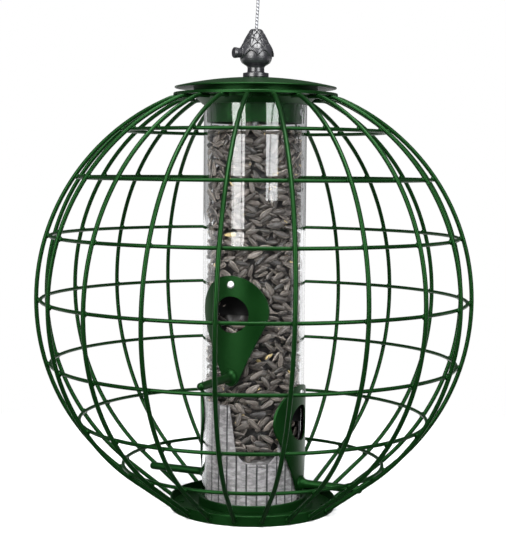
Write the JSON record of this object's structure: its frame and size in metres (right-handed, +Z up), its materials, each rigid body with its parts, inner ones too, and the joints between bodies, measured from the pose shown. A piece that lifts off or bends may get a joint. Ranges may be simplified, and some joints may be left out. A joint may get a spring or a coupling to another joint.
{
  "type": "caged tube bird feeder",
  "caption": "Clear seed tube with teardrop feeding ports and perches inside a globe cage of welded wire, with a domed lid held by a cone finial on a hanging cable.",
  "frame": {"origin": "centre of the base pan's underside, the face that the feeder stands on", "axes": "+Z up along the seed tube and the hanging cable; the upper feeding ports face -Y and +Y and the lower ones +X and -X"},
  "size_m": [0.3048, 0.3048, 0.4312],
  "materials": {
    "green_powder_coat": "dark green powder coat, semi-gloss",
    "green_moulding": "moulded plastic, dark green",
    "clear_tube": "clear extruded plastic tube",
    "dark_hood": "black coated sheet",
    "bright_rivet": "bright aluminium",
    "zinc_steel": "zinc plated steel",
    "grey_insert": "ribbed grey plastic",
    "sunflower_seed": "loose sunflower seed in the hull",
    "cast_grey": "dark grey painted casting",
    "dark_knob": "dark grey, semi-gloss",
    "wire_rope": "plastic-coated wire rope",
    "crimp_aluminium": "pressed aluminium"
  },
  "bodies": {
    "root": {"base_cup": "green_moulding", "base_pan": "green_powder_coat", "base_screws": "zinc_steel", "cable_ferrule": "crimp_aluminium", "cable_stop": "crimp_aluminium", "collar": "green_moulding", "hanger_bar": "zinc_steel", "hanging_cable": "wire_rope", "hoop_1": "green_powder_coat", "hoop_2": "green_powder_coat", "hoop_3": "green_powder_coat", "hoop_4": "green_powder_coat", "hoop_5": "green_powder_coat", "hoop_6": "green_powder_coat", "hoop_7": "green_powder_coat", "perch_lower_left": "green_powder_coat", "perch_lower_right": "green_powder_coat", "perch_screws": "zinc_steel", "perch_upper_back": "green_powder_coat", "perch_upper_front": "green_powder_coat", "port_hood_lower_left": "dark_hood", "port_hood_lower_right": "dark_hood", "port_hood_upper_back": "dark_hood", "port_hood_upper_front": "dark_hood", "port_plate_lower_left": "green_powder_coat", "port_plate_lower_right": "green_powder_coat", "port_plate_upper_back": "green_powder_coat", "port_plate_upper_front": "green_powder_coat", "port_rivets": "bright_rivet", "seed_deflector": "grey_insert", "seed_fill": "sunflower_seed", "seed_tube": "clear_tube", "top_ring": "green_powder_coat", "upright_01": "green_powder_coat", "upright_02": "green_powder_coat", "upright_03": "green_powder_coat", "upright_04": "green_powder_coat", "upright_05": "green_powder_coat", "upright_06": "green_powder_coat", "upright_07": "green_powder_coat", "upright_08": "green_powder_coat", "upright_09": "green_powder_coat", "upright_10": "green_powder_coat", "upright_11": "green_powder_coat", "upright_12": "green_powder_coat", "upright_13": "green_powder_coat", "upright_14": "green_powder_coat", "upright_15": "green_powder_coat", "upright_16": "green_powder_coat", "upright_17": "green_powder_coat", "upright_18": "green_powder_coat", "upright_19": "green_powder_coat", "upright_20": "green_powder_coat"},
    "lid": {"lid": "green_powder_coat"},
    "finial": {"finial": "cast_grey"},
    "thumb_screw": {"thumb_screw": "dark_knob"}
  },
  "joints": [
    {"name": "lid_lift", "type": "slide", "parent": "root", "child": "lid", "axis": [0, 0, 1], "range_m": [0, 0.033]},
    {"name": "finial_slide", "type": "slide", "parent": "lid", "child": "finial", "axis": [0, 0, 1], "range_m": [0, 0.006]},
    {"name": "thumb_screw_turn", "type": "hinge", "parent": "finial", "child": "thumb_screw", "pos_m": [-0.009, -0.01073, 0.31778], "axis": [-0.6428, -0.766, 0], "range_deg": [0, 720]}
  ]
}
